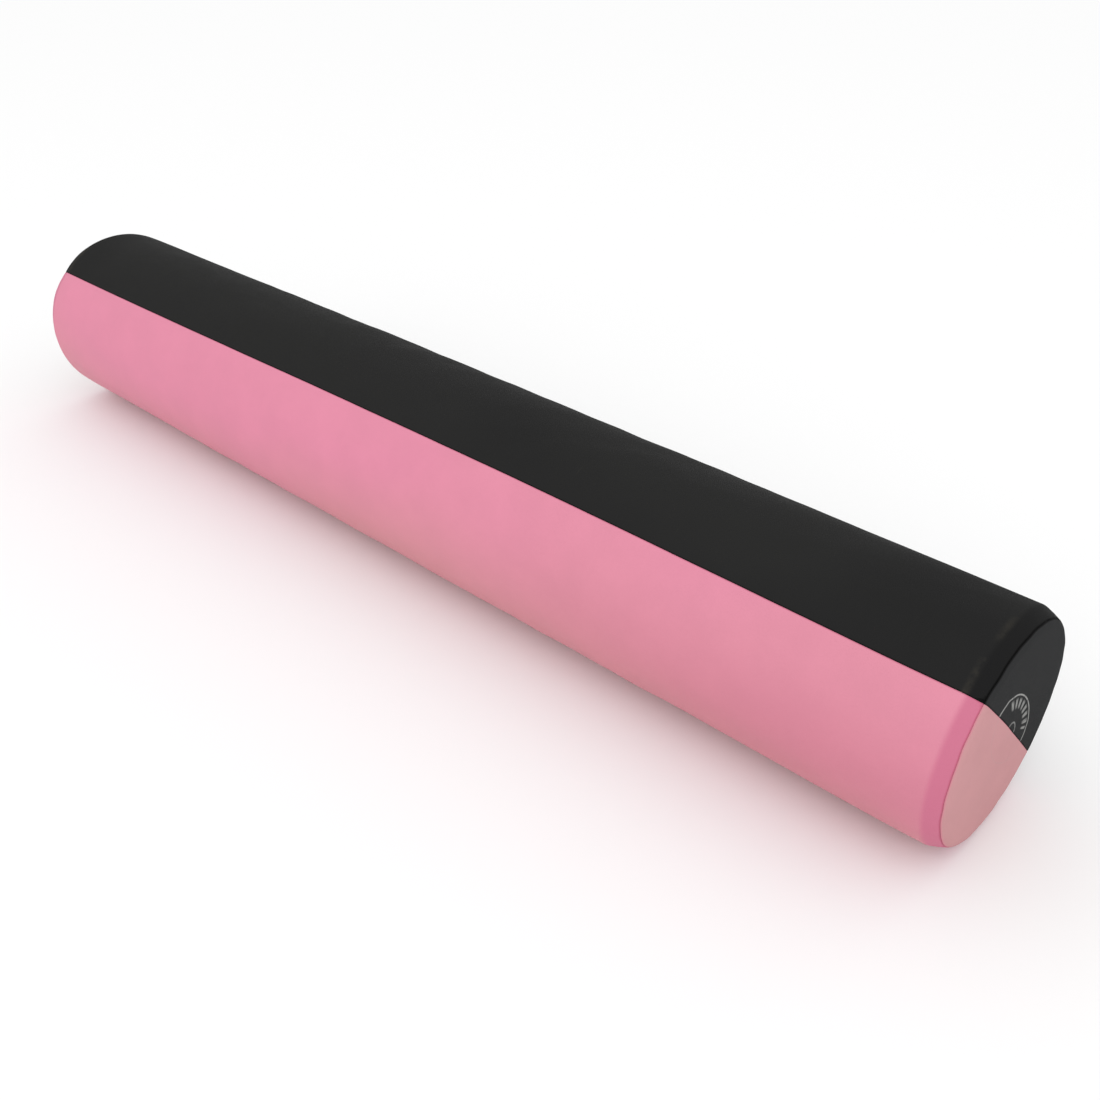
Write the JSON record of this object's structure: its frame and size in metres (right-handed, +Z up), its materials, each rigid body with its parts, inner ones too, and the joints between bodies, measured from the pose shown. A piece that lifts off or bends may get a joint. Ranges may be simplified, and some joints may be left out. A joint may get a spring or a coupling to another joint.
{
  "type": "round foam balance beam",
  "caption": "Long round foam roll for floor balance practice, in a sewn two-colour vinyl cover with disc ends and a zip along its hidden back seam.",
  "frame": {"origin": "on the floor, under the middle of the beam", "axes": "+X along the beam towards the zip's closed end, +Z up, -Y towards the side that shows both colours and the sewn seam"},
  "size_m": [1.21, 0.1978, 0.1968],
  "materials": {
    "core_foam": "matte closed-cell foam",
    "soft_foam": "matte open-cell foam",
    "black_vinyl": "satin coated cloth",
    "pink_vinyl": "satin coated cloth",
    "zip_tape": "woven polyester",
    "zip_coil": "polyester coil",
    "zip_metal": "satin",
    "slider_metal": "black enamel"
  },
  "bodies": {
    "roll": {"firm_core": "core_foam", "soft_wrap": "soft_foam", "left_end_cushion": "soft_foam", "right_end_cushion": "soft_foam", "black_body_panel": "black_vinyl", "pink_body_panel": "pink_vinyl", "left_end_black_panel": "black_vinyl", "left_end_pink_panel": "pink_vinyl", "right_end_black_panel": "black_vinyl", "right_end_pink_panel": "pink_vinyl", "zip_tape_black_side": "zip_tape", "zip_tape_pink_side": "zip_tape", "zip_coil_black_side": "zip_coil", "zip_coil_pink_side": "zip_coil", "zip_top_stops": "zip_metal", "zip_bottom_stop": "zip_metal"},
    "slider": {"zip_slider": "slider_metal"},
    "pull": {"zip_pull": "slider_metal"}
  },
  "joints": [
    {"name": "zip_slide", "type": "slide", "parent": "roll", "child": "slider", "axis": [1, 0, 0], "range_m": [-1.1294, 0], "deforming": ["zip_coil_black_side", "zip_coil_pink_side"]},
    {"name": "pull_swing", "type": "hinge", "parent": "slider", "child": "pull", "pos_m": [0.5647, 0.06872, 0.02154], "axis": [0, 0.7431, 0.6691], "range_deg": [-85, 85]}
  ]
}
